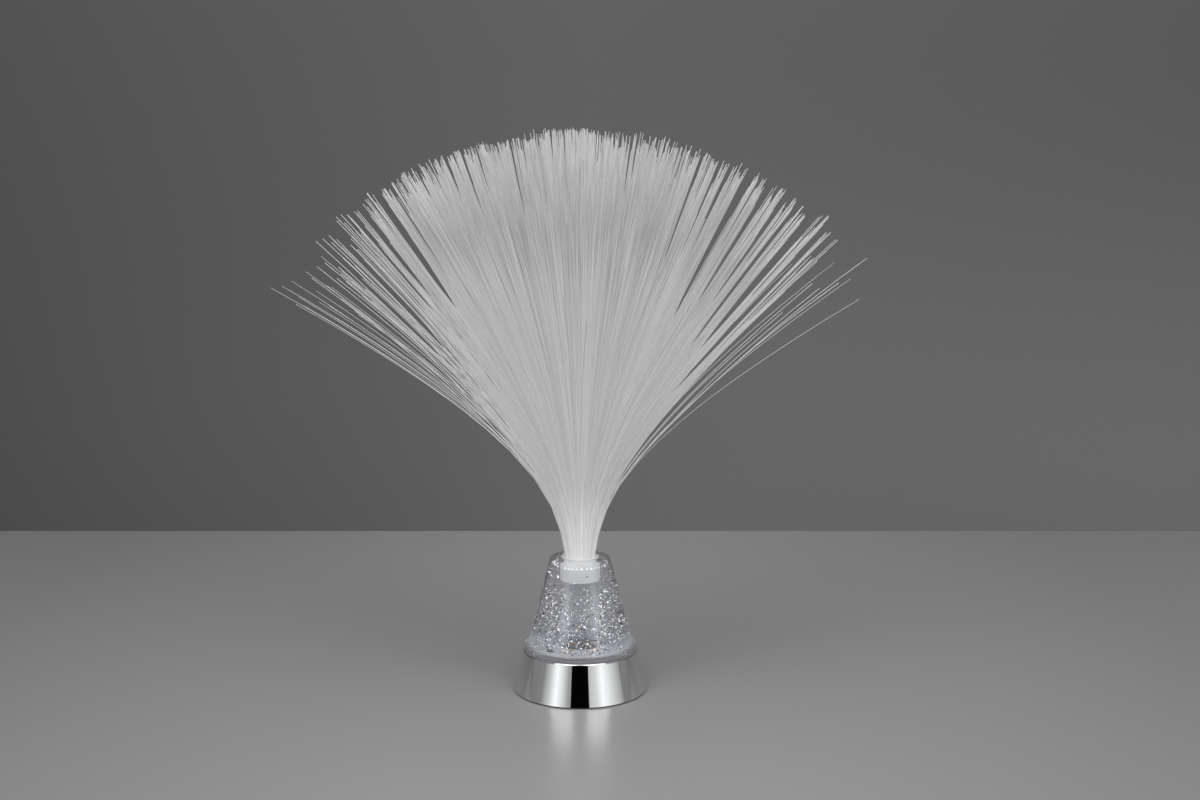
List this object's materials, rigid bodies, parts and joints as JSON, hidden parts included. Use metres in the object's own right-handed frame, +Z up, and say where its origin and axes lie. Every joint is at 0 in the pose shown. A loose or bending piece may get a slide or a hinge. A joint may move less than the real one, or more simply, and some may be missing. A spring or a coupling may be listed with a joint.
{
  "type": "fibre optic lamp",
  "caption": "Battery fibre optic lamp: chrome base, clear glitter-filled cone, white socket sleeve and a wide spray of fibres.",
  "frame": {"origin": "point on the table under the lamp's axis, at the bottom of the rubber feet", "axes": "+Z up along the lamp's axis; +X towards the slide switch; +Y towards the battery door's latch"},
  "size_m": [0.354, 0.354, 0.325],
  "materials": {
    "chrome_plated_plastic": "polished",
    "clear_plastic": "gloss",
    "glitter_liquid": "gloss",
    "fibre": "gloss",
    "white_plastic": "gloss",
    "black_plastic": "satin",
    "black_rubber": "matte",
    "board_laminate": "satin",
    "led_resin": "gloss",
    "resistor_body": "satin",
    "wire_red": "satin",
    "wire_black": "satin",
    "steel": "satin",
    "cell_can": "satin",
    "spring_steel": "gloss"
  },
  "bodies": {
    "lamp": {"base_shell": "chrome_plated_plastic", "bottom_plate": "black_plastic", "rubber_feet": "black_rubber", "base_screws": "steel", "battery_cell_1": "cell_can", "battery_cell_2": "cell_can", "battery_cell_3": "cell_can", "contact_spring_1": "spring_steel", "contact_spring_2": "spring_steel", "contact_spring_3": "spring_steel", "bridge_contact_1": "spring_steel", "bridge_contact_2": "spring_steel", "end_contact_1": "spring_steel", "end_contact_2": "spring_steel", "switch_body": "steel", "led_board": "board_laminate", "board_screws": "steel", "led_1": "led_resin", "led_2": "led_resin", "led_3": "led_resin", "resistor": "resistor_body", "control_chip": "black_plastic", "battery_lead": "wire_red", "switch_lead": "wire_red", "return_lead": "wire_black", "vessel_shell": "clear_plastic", "vessel_floor": "clear_plastic", "floor_seal": "black_rubber", "filler_plug": "black_rubber", "vessel_screws": "steel", "glitter_fill": "glitter_liquid"},
    "fibre_head": {"fibre_sleeve": "white_plastic", "fibre_core": "fibre", "fibre_ring_1": "fibre", "fibre_ring_2": "fibre", "fibre_ring_3": "fibre", "fibre_ring_4": "fibre", "fibre_ring_5": "fibre", "fibre_strays": "fibre"},
    "door": {"battery_door": "black_plastic"},
    "slider": {"switch_slider": "white_plastic"}
  },
  "joints": [
    {"name": "fibre_head_lift", "type": "slide", "parent": "lamp", "child": "fibre_head", "axis": [0, 0, 1], "range_m": [0, 0.02]},
    {"name": "switch_slide", "type": "slide", "parent": "lamp", "child": "slider", "axis": [0, 1, 0], "range_m": [0, 0.002]},
    {"name": "battery_door_hinge", "type": "hinge", "parent": "lamp", "child": "door", "pos_m": [0, -0.0263, 0.0012], "axis": [-1, 0, 0], "range_deg": [0, 75]}
  ]
}
